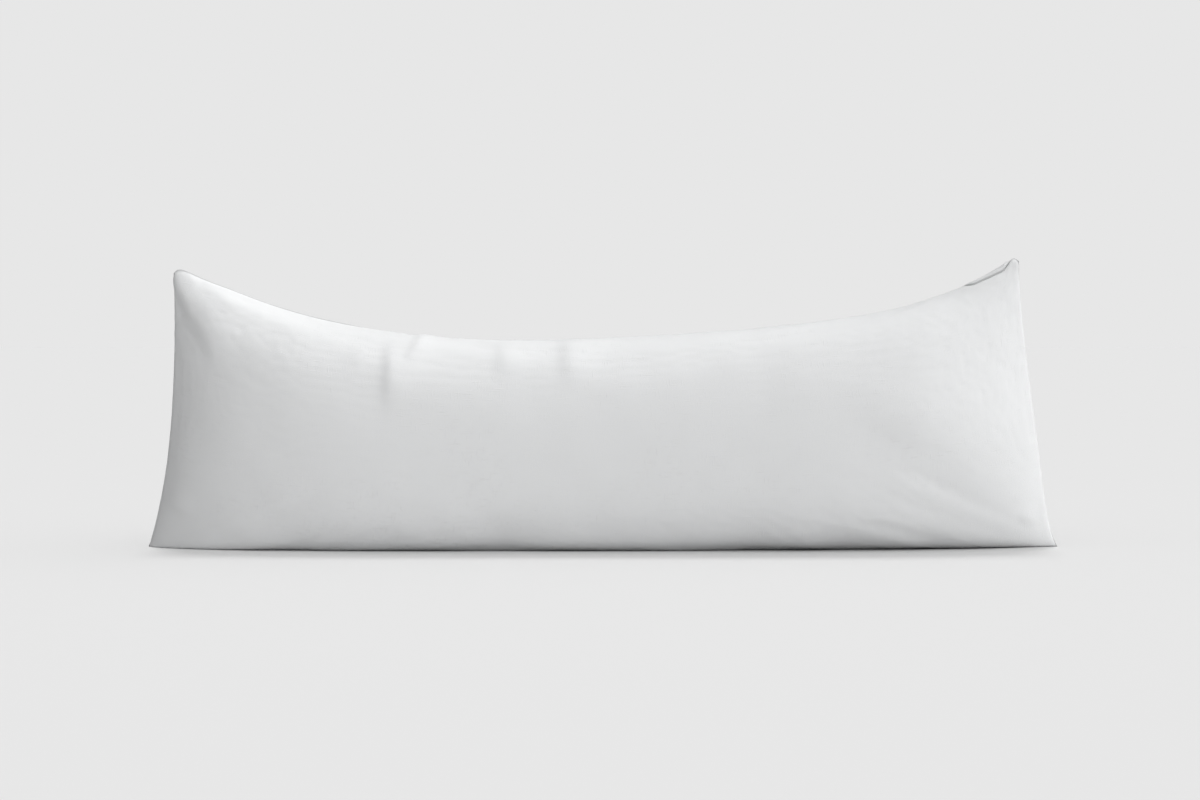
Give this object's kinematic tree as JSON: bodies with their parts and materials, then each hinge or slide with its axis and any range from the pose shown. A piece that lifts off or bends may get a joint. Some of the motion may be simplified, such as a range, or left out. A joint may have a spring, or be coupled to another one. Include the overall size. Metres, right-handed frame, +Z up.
{
  "type": "body pillow",
  "caption": "Long stuffed body pillow standing on its lower long edge, with a scooped upper edge, drawn-in ends and pointed corners, in plain white woven cloth.",
  "frame": {"origin": "centre of the box's bottom: midway between the two lower corners and between the front and back panels, on the flat base that touches the surface", "axes": "+X along the length, towards the taller upper corner; +Y through the thickness, from the front panel to the back panel; +Z up, from the lower long edge to the upper one"},
  "size_m": [1.345, 0.232, 0.4269],
  "materials": {
    "white_cloth": "matte plain-woven white cloth with fine slubs"
  },
  "bodies": {
    "root": {"pillow": "white_cloth"}
  },
  "joints": []
}
